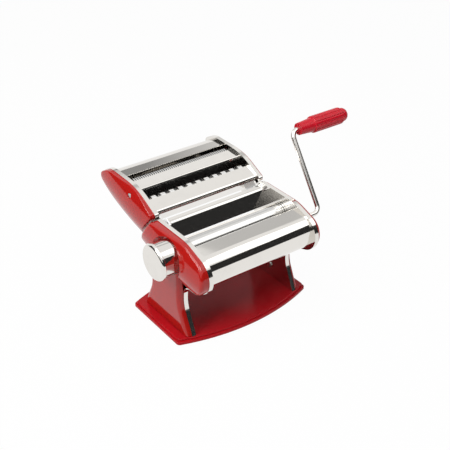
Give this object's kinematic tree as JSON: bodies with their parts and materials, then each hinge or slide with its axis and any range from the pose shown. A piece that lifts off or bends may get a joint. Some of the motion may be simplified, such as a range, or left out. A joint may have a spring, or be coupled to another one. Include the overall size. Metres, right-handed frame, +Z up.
{
  "type": "pasta roller machine",
  "caption": "Hand-cranked pasta roller machine with geared dough rollers, an eccentric thickness knob and a lift-off head of fine and wide cutting rollers on a bowed base.",
  "frame": {"origin": "on the table under the middle of the base", "axes": "+X towards the crank, +Y towards the cutter head at the back, +Z up"},
  "size_m": [0.322, 0.2287, 0.2113],
  "materials": {
    "red_paint": "gloss",
    "red_gloss": "gloss",
    "red_grip": "satin",
    "rubber": "matte",
    "chrome_plate": "polished",
    "chrome_knob": "polished",
    "chrome_rod": "polished",
    "roller_steel": "smooth ground",
    "cutter_steel": "turned",
    "plain_steel": "zinc plated",
    "gear_steel": "as cut",
    "bush_plastic": "matte"
  },
  "bodies": {
    "frame": {"base_plate": "red_paint", "rubber_feet": "rubber", "base_screws": "plain_steel", "left_side_plate": "chrome_plate", "right_side_plate": "chrome_plate", "left_side_cover": "red_gloss", "right_side_cover": "red_gloss", "cover_screws": "plain_steel", "front_cover": "chrome_plate", "feed_plate": "chrome_plate", "tie_rods": "plain_steel", "front_scraper": "plain_steel", "rear_scraper": "plain_steel", "roller_bushes": "bush_plastic", "index_plate": "plain_steel", "head_guides": "plain_steel"},
    "crank": {"front_roller": "roller_steel", "front_gear": "gear_steel", "crank_rod": "chrome_rod"},
    "grip": {"crank_grip": "red_grip", "grip_end_cap": "red_grip"},
    "thickness_shaft": {"eccentric_shaft": "plain_steel"},
    "knob": {"knob_hub": "chrome_knob", "knob_cap": "chrome_knob", "detent_pin": "plain_steel", "knob_spring": "plain_steel"},
    "bushes": {"floating_bushes": "bush_plastic"},
    "rear_roller": {"rear_roller": "roller_steel", "rear_gear": "gear_steel"},
    "cutter_head": {"head_left_plate": "chrome_plate", "head_right_plate": "chrome_plate", "head_left_cap": "red_gloss", "head_right_cap": "red_gloss", "cap_screws": "plain_steel", "head_rear_sheet": "chrome_plate", "head_middle_sheet": "chrome_plate", "head_front_sheet": "chrome_plate", "head_partition": "plain_steel", "head_tie_rods": "plain_steel", "fine_front_comb": "cutter_steel", "fine_rear_comb": "cutter_steel", "wide_front_comb": "cutter_steel", "wide_rear_comb": "cutter_steel", "head_bushes": "bush_plastic", "head_hooks": "plain_steel"},
    "fine_front": {"fine_front_cutter": "cutter_steel", "fine_front_gear": "gear_steel"},
    "fine_rear": {"fine_rear_cutter": "cutter_steel", "fine_rear_gear": "gear_steel"},
    "wide_front": {"wide_front_cutter": "cutter_steel", "wide_front_gear": "gear_steel"},
    "wide_rear": {"wide_rear_cutter": "cutter_steel", "wide_rear_gear": "gear_steel"}
  },
  "joints": [
    {"name": "crank_turn", "type": "hinge", "parent": "frame", "child": "crank", "pos_m": [0, -0.0505, 0.1117], "axis": [1, 0, 0], "continuous": true},
    {"name": "grip_spin", "type": "hinge", "parent": "crank", "child": "grip", "pos_m": [0, 0.00907, 0.20034], "axis": [1, 0, 0], "continuous": true},
    {"name": "thickness_turn", "type": "hinge", "parent": "frame", "child": "thickness_shaft", "pos_m": [0, -0.0231, 0.11095], "axis": [1, 0, 0], "range_deg": [0, 120]},
    {"name": "knob_pull", "type": "slide", "parent": "thickness_shaft", "child": "knob", "axis": [-1, 0, 0], "range_m": [0, 0.005], "stiffness_N_per_m": 400, "springref_m": -0.004, "deforming": ["knob_spring"]},
    {"name": "bush_counter_turn", "type": "hinge", "parent": "thickness_shaft", "child": "bushes", "pos_m": [0, -0.0218, 0.1117], "axis": [1, 0, 0], "range_deg": [-120, 0]},
    {"name": "rear_roller_turn", "type": "hinge", "parent": "bushes", "child": "rear_roller", "pos_m": [0, -0.0218, 0.1117], "axis": [1, 0, 0], "continuous": true},
    {"name": "head_lift", "type": "slide", "parent": "frame", "child": "cutter_head", "axis": [0, -0.6198, 0.7848], "range_m": [0, 0.032]},
    {"name": "fine_front_turn", "type": "hinge", "parent": "cutter_head", "child": "fine_front", "pos_m": [0, 0.0865, 0.1495], "axis": [1, 0, 0], "continuous": true},
    {"name": "fine_rear_turn", "type": "hinge", "parent": "cutter_head", "child": "fine_rear", "pos_m": [0, 0.09961, 0.13998], "axis": [1, 0, 0], "continuous": true},
    {"name": "wide_front_turn", "type": "hinge", "parent": "cutter_head", "child": "wide_front", "pos_m": [0, 0.0485, 0.1415], "axis": [1, 0, 0], "continuous": true},
    {"name": "wide_rear_turn", "type": "hinge", "parent": "cutter_head", "child": "wide_rear", "pos_m": [0, 0.06161, 0.13198], "axis": [1, 0, 0], "continuous": true}
  ],
  "couplings": [
    {"joint": "bush_counter_turn", "follows": "thickness_turn", "ratio": -1},
    {"joint": "rear_roller_turn", "follows": "crank_turn", "ratio": -1},
    {"joint": "fine_rear_turn", "follows": "fine_front_turn", "ratio": -1},
    {"joint": "wide_rear_turn", "follows": "wide_front_turn", "ratio": -1}
  ]
}
